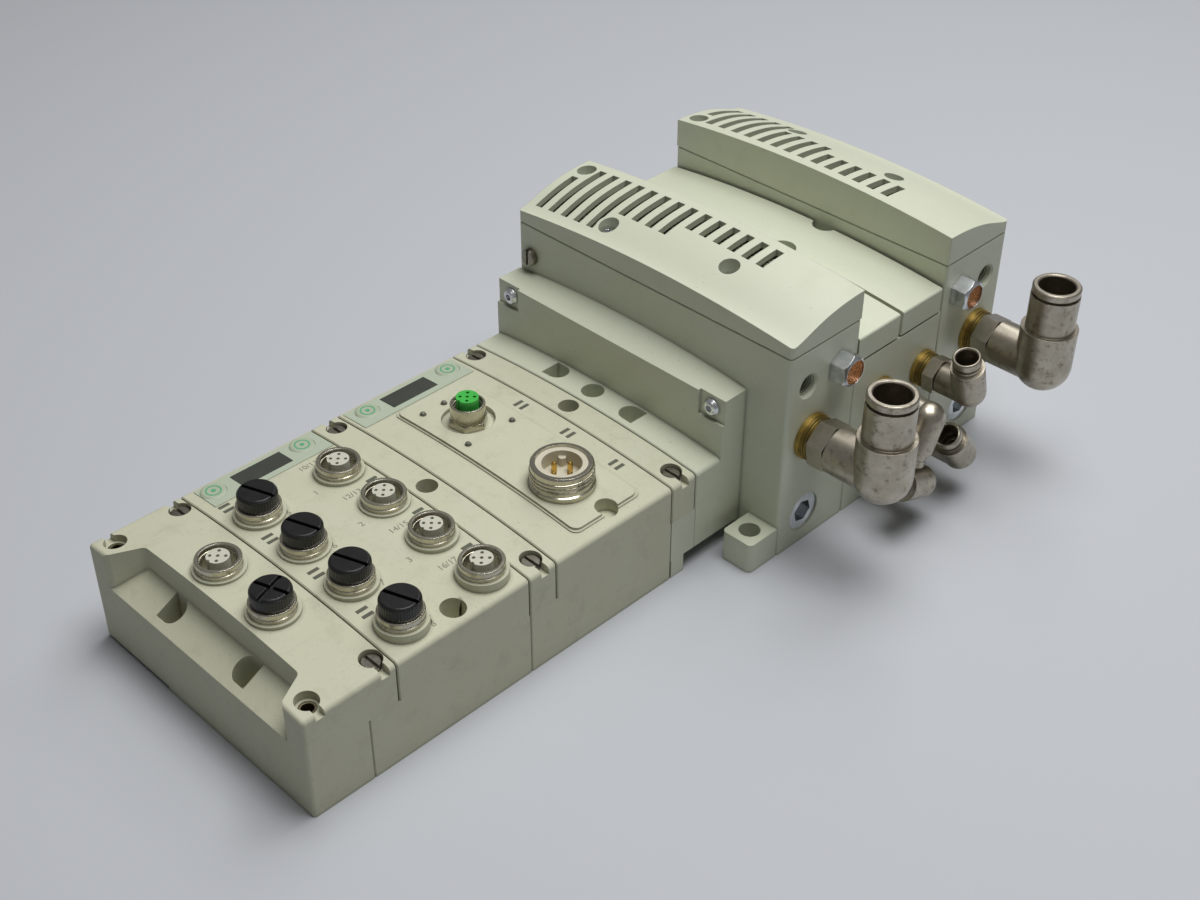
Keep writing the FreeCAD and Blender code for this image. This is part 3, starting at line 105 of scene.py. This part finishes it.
# the node tree of one material or world
class Graph:
    def __init__(self, owner):
        self.owner = owner
        owner.use_nodes = True
        self.tree = owner.node_tree
        self.tree.nodes.clear()

    @property
    def place(self):
        return self.node("ShaderNodeTexCoord")["Object"]

    # the one way that a node is made: type, settings, then the values or links of its sockets
    def node(self, kind, settings=None, values=None):
        made = self.tree.nodes.new(kind)
        for key, setting in (settings or {}).items():
            if key == "stops":
                ramp = made.color_ramp
                while len(ramp.elements) < len(setting):
                    ramp.elements.new(0.5)
                for element, (position, colour) in zip(ramp.elements, setting):
                    element.position = position
                    element.color = colour
            else:
                setattr(made, key, setting)
        for key, value in (values or {}).items():
            socket = made.inputs[key]
            if isinstance(value, Value):
                self.tree.links.new(value.socket, socket)
            else:
                socket.default_value = value
        return Outputs(self, made)

    def noise(self, size, detail=2.0, rough=0.5, stretch=None):
        place = self.place
        if stretch:
            place = self.node("ShaderNodeMapping", {}, {"Vector": place, "Scale": stretch})["Vector"]
        values = {"Vector": place, "Scale": 1 / (size * mm), "Detail": detail, "Roughness": rough}
        return self.node("ShaderNodeTexNoise", {}, values)["Fac"]

    def axes(self):
        parts = self.node("ShaderNodeSeparateXYZ", {}, {"Vector": self.place})
        return parts["X"], parts["Y"], parts["Z"]

    def mix(self, amount, first, second):
        settings = {"data_type": "RGBA", "clamp_factor": True}
        return self.node("ShaderNodeMix", settings, {0: amount, 6: first, 7: second})[2]

    # mask for painted shade: occlusion that darkens the colour in seams, corners and bores
    def paintedHollowShade(self, reach):  # 0 in the open, towards 1 in seams and corners
        values = {"Distance": reach * mm}
        return 1 - self.node("ShaderNodeAmbientOcclusion", {"samples": 4}, values)["AO"]

    def softEdge(self, radius):
        return self.node("ShaderNodeBevel", {"samples": 6}, {"Radius": radius * mm})["Normal"]

    def bump(self, height, depth, normal=None):
        values = {"Height": height, "Distance": depth * mm}
        if normal is not None:
            values["Normal"] = normal
        return self.node("ShaderNodeBump", {}, values)["Normal"]

    def finish(self, **values):
        names = {key.replace("_", " "): value for key, value in values.items()}
        shader = self.node("ShaderNodeBsdfPrincipled", {}, names)
        self.node("ShaderNodeOutputMaterial", {}, {"Surface": shader["BSDF"]})
        return self.owner


def newFinish(name):
    return Graph(bpy.data.materials.new(name))


# an sRGB colour of 0 to 255 as the linear colour that a socket takes
def tint(red, green, blue):
    def linear(c):
        c = c / 255
        return c / 12.92 if c <= 0.04045 else ((c + 0.055) / 1.055) ** 2.4
    return (linear(red), linear(green), linear(blue), 1.0)


paint = {
    "base": tint(201, 205, 183),
    "pale": tint(207, 211, 190),
    "worn": tint(176, 178, 154),
    "dirt": tint(120, 116, 92),
    # seam colour: painted shade for seams and corners
    "seam": tint(92, 94, 78),
    "rough": 0.36,
    "peel": 1.6,
    "peelDepth": 0.012,
    "edge": 0.45,
}


# smooth sprayed paint over a casting, with faint orange peel, handling marks and painted shade in its seams
# and corners
def paintedCasting(name, settings):
    g = newFinish(name)
    cloud = g.noise(38.0, 3.0, 0.55)
    smudge = g.noise(14.0, 5.0, 0.62).above(0.60, 0.16)
    peel = g.noise(settings["peel"], 2.0, 0.4)
    speck = g.noise(1.1, 2.0, 0.5).above(0.71, 0.05)
    colour = g.mix(cloud, settings["base"], settings["pale"])
    colour = g.mix(smudge * 0.10, colour, settings["worn"])
    colour = g.mix(speck * 0.22, colour, settings["dirt"])
    # painted shade: the seam colour darkens seams and corners by occlusion
    colour = g.mix(g.paintedHollowShade(1.6) * 0.7, colour, settings["seam"])
    rough = settings["rough"] + cloud * 0.06 + smudge * 0.12
    normal = g.bump(peel, settings["peelDepth"], g.softEdge(settings["edge"]))
    return g.finish(Base_Color=colour, Roughness=rough, Normal=normal, IOR=1.48)


moulding = {
    "base": tint(200, 202, 179),
    "warm": tint(194, 192, 167),
    "grime": tint(128, 120, 96),
    # seam colour: painted shade for seams and corners
    "seam": tint(86, 82, 66),
    "rough": 0.62,
    "grain": 0.5,
    "grainDepth": 0.02,
    "edge": 0.35,
}


# matt moulded plastic with a fine spark-eroded grain, light workshop grime and painted shade in its seams
# and corners
def mouldedPlastic(name, settings):
    g = newFinish(name)
    cloud = g.noise(30.0, 4.0, 0.6)
    grime = g.noise(9.0, 6.0, 0.66).above(0.60, 0.14)
    streak = g.noise(2.4, 3.0, 0.6, (1.0, 0.12, 1.0)).above(0.66, 0.08)
    speck = g.noise(0.9, 2.0, 0.5).above(0.69, 0.05)
    grain = g.noise(settings["grain"], 1.0, 0.5)
    colour = g.mix(cloud, settings["base"], settings["warm"])
    colour = g.mix(grime * 0.13, colour, settings["grime"])
    colour = g.mix(streak * 0.08, colour, settings["grime"])
    colour = g.mix(speck * 0.3, colour, settings["grime"])
    # painted shade: the seam colour darkens seams and corners by occlusion
    colour = g.mix(g.paintedHollowShade(1.6) * 0.8, colour, settings["seam"])
    normal = g.bump(grain, settings["grainDepth"], g.softEdge(settings["edge"]))
    rough = settings["rough"] + cloud * 0.1 - streak * 0.1
    return g.finish(Base_Color=colour, Roughness=rough, Normal=normal, IOR=1.46)


nickel = {
    "bright": tint(208, 204, 188),
    "dull": tint(172, 166, 148),
    "stain": tint(118, 108, 88),
    "edge": 0.12,
}
worn = {
    "bright": tint(206, 199, 184),
    "dull": tint(140, 131, 116),
    "stain": tint(88, 78, 62),
    "edge": 0.35,
    # reach of the painted shade in the elbows' bores
    "bore": 10.0,
}


# thin nickel plate that the brass warms, a little tarnished, with the stain colour also painted as shade in
# bores when shade is set
def nickelPlate(name, settings, rough=0.2, shade=0.0):
    g = newFinish(name)
    cloud = g.noise(6.0, 4.0, 0.6)
    stain = g.noise(3.2, 6.0, 0.68).above(0.60, 0.14)
    turning = g.noise(0.35, 2.0, 0.5)
    colour = g.mix(cloud, settings["bright"], settings["dull"])
    colour = g.mix(stain * 0.55, colour, settings["stain"])
    if shade:
        # painted shade: bores and hollows darkened with the stain colour
        colour = g.mix(g.paintedHollowShade(settings["bore"]) * shade, colour, settings["stain"])
    normal = g.bump(turning, 0.002, g.softEdge(settings["edge"]))
    rough = rough + cloud * 0.12 + stain * 0.16
    return g.finish(Base_Color=colour, Metallic=1.0, Roughness=rough, Normal=normal)


studs = {
    "brass": tint(186, 158, 88),
    "old": tint(112, 98, 56),
    "ringEnd": 1.9, "threadEnd": 5.0, "portFace": 7.2,
}


# brass ring and thread next to the port face, nickel plate from the hexagon outwards
def studMetal(name):
    g = newFinish(name)
    x, y, z = g.axes()
    cloud = g.noise(3.0, 5.0, 0.65)
    reach = (studs["portFace"] + studs["threadEnd"]) * mm
    plated = x.above(reach, 0.3 * mm)
    thread = x.above((studs["portFace"] + studs["ringEnd"]) * mm, 0.2 * mm)
    brass = g.mix(cloud.above(0.62, 0.3), studs["brass"], studs["old"])
    brass = g.mix(thread * 0.75, brass, studs["old"])
    hexagons = g.mix(cloud, worn["bright"], worn["dull"])
    colour = g.mix(plated, brass, hexagons)
    normal = g.bump(g.noise(0.4, 2.0), 0.006, g.softEdge(0.3))
    rough = 0.38 - plated * 0.14 + cloud * 0.12
    return g.finish(Base_Color=colour, Metallic=1.0, Roughness=rough, Normal=normal)


def plainMetal(name, bright, dark, rough, size=4.0):
    g = newFinish(name)
    cloud = g.noise(size, 4.0, 0.6)
    colour = g.mix(cloud.above(0.5, 0.4), bright, dark)
    normal = g.bump(g.noise(0.3, 2.0), 0.008, g.softEdge(0.2))
    return g.finish(Base_Color=colour, Metallic=1.0, Roughness=rough + cloud * 0.1, Normal=normal)


# sintered balls pressed together, with painted shade in the pores between them
def sinteredBronze(name):
    g = newFinish(name)
    balls = g.node("ShaderNodeTexVoronoi", {}, {"Vector": g.place, "Scale": 1 / (0.5 * mm)})["Distance"]
    shadedPores = balls.above(0.62, 0.2)
    colour = g.mix(g.noise(2.5, 2.0), tint(226, 154, 88), tint(190, 122, 64))
    # painted shade: the pores are coloured dark brown
    colour = g.mix(shadedPores, colour, tint(78, 44, 22))
    normal = g.bump(1 - balls, 0.25)
    return g.finish(Base_Color=colour, Metallic=1 - shadedPores, Roughness=0.42 + shadedPores * 0.3, Normal=normal)


def plainPlastic(name, base, shade, rough, edge=0.2, dust=None, dustAmount=0.0):
    g = newFinish(name)
    cloud = g.noise(6.0, 4.0, 0.6)
    colour = g.mix(cloud, base, shade)
    if dust:
        colour = g.mix(g.noise(1.6, 5.0, 0.7).above(0.56, 0.2) * dustAmount, colour, dust)
    normal = g.bump(g.noise(0.6, 1.0), 0.01, g.softEdge(edge))
    return g.finish(Base_Color=colour, Roughness=rough + cloud * 0.08, Normal=normal)


# open-pored filler seen through the cover's slots, with painted shade in its holes
def porousFiller(name):
    g = newFinish(name)
    cells = g.node("ShaderNodeTexVoronoi", {}, {"Vector": g.place, "Scale": 1 / (1.3 * mm)})["Distance"]
    shadedHoles = cells.above(0.45, 0.3)
    # painted shade: the holes are coloured dark
    colour = g.mix(shadedHoles, tint(150, 154, 130), tint(58, 60, 46))
    return g.finish(Base_Color=colour, Roughness=0.8, Normal=g.bump(1 - cells, 0.5))


def circuitBoard(name):
    g = newFinish(name)
    tracks = g.node("ShaderNodeTexBrick", {}, {"Vector": g.place, "Scale": 160.0})["Fac"]
    colour = g.mix(tracks, tint(18, 74, 40), tint(52, 118, 66))
    return g.finish(Base_Color=colour, Roughness=0.45)


def dress(material, *names):
    for name in names:
        mesh = nodes[name].data
        mesh.materials.clear()
        mesh.materials.append(material)


castPaint = paintedCasting("castPaint", paint)
plastic = mouldedPlastic("modulePlastic", moulding)
plate = nickelPlate("nickelPlate", nickel)
# the last value sets the strength of the painted shade in the elbows' bores
elbowPlate = nickelPlate("elbowPlate", worn, 0.25, 0.4)
studFinish = studMetal("studFinish")
zinc = plainMetal("zincPlate", tint(228, 231, 233), tint(188, 192, 196), 0.2)
screwSteel = plainMetal("screwSteel", tint(160, 156, 144), tint(112, 107, 96), 0.34, size=2.0)
gold = plainMetal("goldPins", tint(222, 190, 108), tint(186, 146, 70), 0.22)
insertBrass = plainMetal("insertBrass", tint(150, 140, 116), tint(96, 88, 70), 0.35)
spoolMetal = plainMetal("spoolMetal", tint(206, 206, 208), tint(180, 180, 184), 0.25)
bronze = sinteredBronze("sinteredBronze")
black = plainPlastic("capBlack", tint(12, 12, 13), tint(18, 18, 19), 0.28, 0.5, tint(90, 88, 80), 0.06)
cream = plainPlastic("contactCarrier", tint(206, 206, 190), tint(192, 190, 172), 0.45)
powerCream = plainPlastic("powerCarrier", tint(212, 207, 188), tint(190, 183, 160), 0.45)
green = plainPlastic("greenInsert", tint(66, 190, 74), tint(50, 164, 60), 0.4)
guide = plainPlastic("lightGuide", tint(104, 106, 92), tint(86, 88, 76), 0.3)
film = plainPlastic("labelFilm", tint(184, 194, 174), tint(176, 186, 165), 0.36)
display = plainPlastic("displayWindow", tint(58, 61, 54), tint(70, 73, 66), 0.18)
buttonFilm = plainPlastic("buttonFilm", tint(176, 186, 162), tint(166, 176, 152), 0.45)
filler = porousFiller("porousFiller")
board = circuitBoard("circuitBoard")
polished = nickelPlate("polishedNickel", nickel, 0.12)
inkFinish = plainPlastic("paleInk", tint(140, 137, 120), tint(154, 150, 132), 0.6)
greenInk = plainPlastic("greenInk", tint(96, 170, 128), tint(84, 156, 116), 0.5)
rubber = plainPlastic("gasketRubber", tint(24, 24, 24), tint(34, 34, 34), 0.6)

fittings = [name for name in nodes if "elbow" in name or "collet" in name]
caps = sorted(name for name in nodes if name.startswith("dust_cap"))
buttons = sorted(name for name in nodes if name.startswith("button_") and name != "button_screws")

dress(castPaint, "adapter", "front_end_plate", "rear_end_plate", "manifold_block")
dress(castPaint, "front_cover", "rear_cover", "valve_body_1", "valve_body_2")
dress(plastic, "end_block", "io_module", "comm_module", "joiner_clip_front", "joiner_clip_rear")
dress(plate, "socket_shells", "bus_socket_shell", "bus_socket_nut")
dress(elbowPlate, *fittings)
dress(polished, "power_shell")
dress(studFinish, "port_studs")
dress(zinc, "breather_bodies", "port_plugs", "button_screws", "tie_rods")
dress(screwSteel, "slotted_screws")
dress(insertBrass, "threaded_inserts")
dress(bronze, "breather_discs")
dress(black, "spool_end_caps", *caps)
dress(cream, "socket_inserts")
dress(powerCream, "power_insert")
dress(green, "bus_socket_insert")
dress(gold, "power_pins")
dress(guide, "light_guides")
dress(film, "label_films")
dress(display, "display_windows")
dress(buttonFilm, *buttons)
dress(filler, "silencers")
dress(board, "io_circuit_board", "comm_circuit_board")
dress(spoolMetal, "spool_1", "spool_2")
dress(rubber, "valve_gaskets")
print("stage: finishes on", len(nodes), "nodes")


# smooth shading where the faces meet at a small angle
def smoothNodes(angle):
    for node in nodes.values():
        node.data.polygons.foreach_set("use_smooth", [True] * len(node.data.polygons))
        split = node.modifiers.new("edges", "EDGE_SPLIT")
        split.split_angle = math.radians(angle)


mounts = {mount["name"]: mount for mount in frame["record"]["mounts"]}
island = "island"
up, out = (0, 0, 1), (1, 0, 0)  # out is away from the port face


def addPiece(name, points, faces, material, body, smooth=True):
    mesh = bpy.data.meshes.new(name)
    mesh.from_pydata(points, [], faces)
    mesh.materials.append(material)
    mesh.polygons.foreach_set("use_smooth", [smooth] * len(mesh.polygons))
    piece = bpy.data.objects.new(name, mesh)
    bpy.context.collection.objects.link(piece)
    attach(piece, body)
    return piece


# a thread's ridge wound round an axis, rooted a little inside the metal; side -1 winds it inside a bore
def threadRidge(name, base, axis, thread, material, body):
    steps = 36
    radius, height, pitch, side = thread["radius"], thread["height"], thread["pitch"], thread.get("side", 1)
    turns = (thread["stop"] - thread["start"]) / pitch - 1
    count = round(turns * steps)
    aim = Vector(axis).to_track_quat("Z", "Y").to_matrix()
    points, faces = [], []
    for i in range(count + 1):
        angle = 2 * math.pi * i / steps
        rise = thread["start"] + pitch * (i / steps + 0.5)
        grown = min(1.0, 4 * i / steps, 4 * (count - i) / steps)
        crest = radius + side * (height * grown + 0.01)
        root = radius - side * 0.12
        for r, z in ((root, -0.48), (crest, -0.1), (crest, 0.1), (root, 0.48)):
            local = Vector((r * math.cos(angle), r * math.sin(angle), rise + z * pitch))
            points.append(Vector(base) + aim @ local * mm)
    for i in range(count):
        a, b = 4 * i, 4 * i + 4
        for k in range(4):
            corner = (a + k, a + (k + 1) % 4, b + (k + 1) % 4, b + k)
            faces.append(corner if side < 0 else corner[::-1])
    last = 4 * count
    ends = [(0, 3, 2, 1), (last, last + 1, last + 2, last + 3)]
    faces += ends if side < 0 else [end[::-1] for end in ends]
    return addPiece(name, points, faces, material, body)


studio = {
    "floor": tint(190, 193, 198),
    "floorSize": 3.0,
    "ambient": 0.065,
    "shine": 0.15,
    "key": {"place": (0.10, 0.13, 1.28), "size": 0.8, "power": 14.2},
    "sheen": {"place": (-0.25, 0.75, 1.10), "size": 0.7, "power": 4.0},
}


def areaLight(name, settings, target):
    lamp = bpy.data.lights.new(name, "AREA")
    lamp.energy = settings["power"]
    lamp.size = settings["size"]
    holder = bpy.data.objects.new(name, lamp)
    bpy.context.collection.objects.link(holder)
    holder.location = settings["place"]
    holder.rotation_euler = (target - holder.location).to_track_quat("-Z", "Y").to_euler()


def buildStudio():
    middle = (cadBox[0] + cadBox[1]) / 2
    half = studio["floorSize"] / 2
    mesh = bpy.data.meshes.new("floor")
    signs = ((-1, -1), (1, -1), (1, 1), (-1, 1))
    corners = [(middle.x + sx * half, middle.y + sy * half, cadBox[0].z) for sx, sy in signs]
    mesh.from_pydata(corners, [], [(0, 1, 2, 3)])
    floor = bpy.data.objects.new("floor", mesh)
    bpy.context.collection.objects.link(floor)
    g = newFinish("paleFloor")
    mesh.materials.append(g.finish(Base_Color=studio["floor"], Roughness=0.7))
    world = bpy.data.worlds.new("softRoom")
    bpy.context.scene.world = world
    g = Graph(world)
    glossy = g.node("ShaderNodeLightPath")["Is Glossy Ray"]
    values = {"Color": (1.0, 1.0, 1.0, 1.0), "Strength": studio["ambient"] + glossy * studio["shine"]}
    room = g.node("ShaderNodeBackground", {}, values)
    g.node("ShaderNodeOutputWorld", {}, {"Surface": room["Background"]})
    areaLight("key", studio["key"], middle)
    areaLight("sheen", studio["sheen"], middle)


lens = {
    "place": (0.30273, -0.38116, 0.40975),
    "aim": (-0.08406, 0.00764, 0.0),
    "roll": 0.28,
    "focal": 51.85,
}


def buildCamera():
    camera = bpy.data.objects.new("camera", bpy.data.cameras.new("camera"))
    bpy.context.collection.objects.link(camera)
    place = Vector(lens["place"])
    turn = (Vector(lens["aim"]) - place).to_track_quat("-Z", "Y").to_matrix().to_4x4()
    roll = Matrix.Rotation(math.radians(lens["roll"]), 4, "Z")
    camera.matrix_world = Matrix.Translation(place) @ turn @ roll
    camera.data.lens = lens["focal"]
    camera.data.sensor_width = 36.0
    camera.data.clip_start = 0.01
    bpy.context.scene.camera = camera


threads = {
    "socket": {"radius": 6.3, "height": 0.32, "pitch": 1.0, "start": -3.4, "stop": -0.5, "side": -1},
    "bus": {"radius": 5.4, "height": 0.3, "pitch": 1.0, "start": -5.0, "stop": -0.6, "side": -1},
    "power": {"radius": 11.1, "height": 0.4, "pitch": 1.55, "start": -7.2, "stop": -1.0},
    "largeStud": {"radius": 8.2, "height": 0.45, "pitch": 1.1, "start": 1.8, "stop": 5.0},
    "smallStud": {"radius": 6.5, "height": 0.4, "pitch": 1.1, "start": 1.8, "stop": 5.0},
    "pilot": {"radius": 4.2, "height": 0.4, "pitch": 1.0, "start": -12.5, "stop": -1.2, "side": -1},
}


# the threads that the photograph shows, each on its own ring, stud or port
def cutThreads():
    for i in range(1, 6):
        mouth = mounts["field_socket_%d" % i]["pos_m"]
        threadRidge("socketThread%d" % i, mouth, up, threads["socket"], plate, island)
    mouth = mounts["bus_socket"]["pos_m"]
    threadRidge("busThread", mouth, up, threads["bus"], plate, island)
    mouth = mounts["power_socket"]["pos_m"]
    threadRidge("powerThread", mouth, up, threads["power"], polished, island)
    for joint in frame["record"]["behaviour"]["joints"]:
        if joint["name"].endswith("_swivel"):
            size = joint["name"].split("_")[0]
            name = size + "StudThread" + joint["name"].split("_")[2]
            thread = threads[size + "Stud"]
            threadRidge(name, joint["pos_m"], out, thread, studFinish, island)
    for i in (1, 2):
        mount = mounts["pilot_port_%d" % i]
        x, y, z = mount["pos_m"]
        mouth = (studs["portFace"] * mm, y, z)
        name = "pilotThread%d" % i
        threadRidge(name, mouth, out, threads["pilot"], castPaint, island)


grip = {"ribs": 44, "depth": 0.16, "foot": 0.35, "head": 1.1, "run": 0.4, "sunk": 0.35}


# fine moulded ribs round the side of each dust cap
def ribCaps():
    for i, name in enumerate(caps):
        low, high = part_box(name)
        middle = (low + high) / 2
        radius = (high.x - low.x) / 2
        top = high.z
        seat = mounts["field_socket_1"]["pos_m"][2]
        foot, shoulder = seat + grip["foot"] * mm, seat + 2 * grip["foot"] * mm
        neck, rim = top - grip["head"] * mm, top - (grip["head"] - grip["run"]) * mm
        sunk = -grip["sunk"]
        levels = ((foot, sunk), (foot, 0.0), (shoulder, 1.0), (neck, 1.0), (rim, 0.0), (rim, sunk))
        count = 4 * grip["ribs"]
        points, faces = [], []
        for z, stand in levels:
            for k in range(count):
                angle = 2 * math.pi * (k + 0.5) / count
                raised = grip["depth"] if k % 4 in (1, 2) else 0.02
                r = radius + (raised * stand if stand >= 0 else stand) * mm
                points.append((middle.x + r * math.cos(angle), middle.y + r * math.sin(angle), z))
        for ring in range(len(levels)):
            above = (ring + 1) % len(levels)
            for k in range(count):
                after = (k + 1) % count
                here, there = ring * count, above * count
                faces.append((here + k, here + after, there + after, there + k))
        addPiece("capGrip%d" % (i + 1), points, faces, black, "cap_%d" % (i + 1), False)


# what prints lie on: the height of a node's top under a point
class Surface:
    def __init__(self, name):
        mesh = nodes[name].data
        places = [vertex.co for vertex in mesh.vertices]
        self.tree = BVHTree.FromPolygons(places, [tuple(face.vertices) for face in mesh.polygons])

    def height(self, x, y):
        return self.tree.ray_cast(Vector((x, y, 1.0)), Vector((0, 0, -1)))[0].z


ink = {
    "height": 2.5,
    "lift": 0.03,
    "thick": 0.02,
    "first": -98.0,
    "pitch": 24.8,
    "nearRow": -106.9,
    "farRow": -140.6,
    "pair": (-11.0, -5.2),
    "near": (4.0, -13.1),
    "far": (6.5, 7.2),
}


# plain numbers printed beside the connectors, read from the port side
def printNumber(surface, name, words, x, y):
    curve = bpy.data.curves.new(name, "FONT")
    curve.body = words
    curve.size = ink["height"] * mm * 1.4
    curve.align_x = "CENTER"
    curve.align_y = "CENTER"
    curve.extrude = ink["thick"] * mm
    holder = bpy.data.objects.new(name, curve)
    mesh = bpy.data.meshes.new_from_object(holder)
    bpy.data.objects.remove(holder)
    points = []
    for point in mesh.vertices:
        px, py = x * mm - point.co.y, y * mm + point.co.x
        points.append((px, py, surface.height(px, py) + ink["lift"] * mm + point.co.z))
    faces = [tuple(face.vertices) for face in mesh.polygons]
    addPiece(name, points, faces, inkFinish, island, False)


def printNumbers():
    surface = Surface("io_module")
    for i in range(4):
        x = ink["first"] + ink["pitch"] * i
        pair = "%d/%d" % (10 + 2 * i, 11 + 2 * i)
        prints = ((pair, ink["nearRow"], ink["pair"]), (str(i + 1), ink["nearRow"], ink["near"]),
                  (str(i + 5), ink["farRow"], ink["far"]))
        for words, row, (dx, dy) in prints:
            printNumber(surface, "number" + words.replace("/", "_"), words, x + dx, row + dy)


mark = {"ring": (2.3, 2.9), "dot": 0.9, "lift": 0.04, "steps": 40}


# a plain green ring and dot on each film key
def markKeys():
    for i, name in enumerate(buttons):
        low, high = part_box(name)
        middle = (low + high) / 2
        surface = Surface(name)
        points, faces = [], []
        steps = mark["steps"]
        for r in (mark["ring"][0], mark["ring"][1], mark["dot"]):
            for k in range(steps):
                angle = 2 * math.pi * k / steps
                px, py = middle.x + r * mm * math.cos(angle), middle.y + r * mm * math.sin(angle)
                points.append((px, py, surface.height(px, py) + mark["lift"] * mm))
        for k in range(steps):
            after = (k + 1) % steps
            faces.append((k, steps + k, steps + after, after))
        faces.append(tuple(2 * steps + k for k in range(steps)))
        addPiece("keyMark%d" % (i + 1), points, faces, greenInk, "key_%d" % (i + 1), False)


smoothNodes(28)
cutThreads()
ribCaps()
printNumbers()
markKeys()
print("stage: threads, ribs and print")
buildStudio()
buildCamera()
bpy.context.scene.view_settings.view_transform = "Standard"
print("stage: studio and camera")
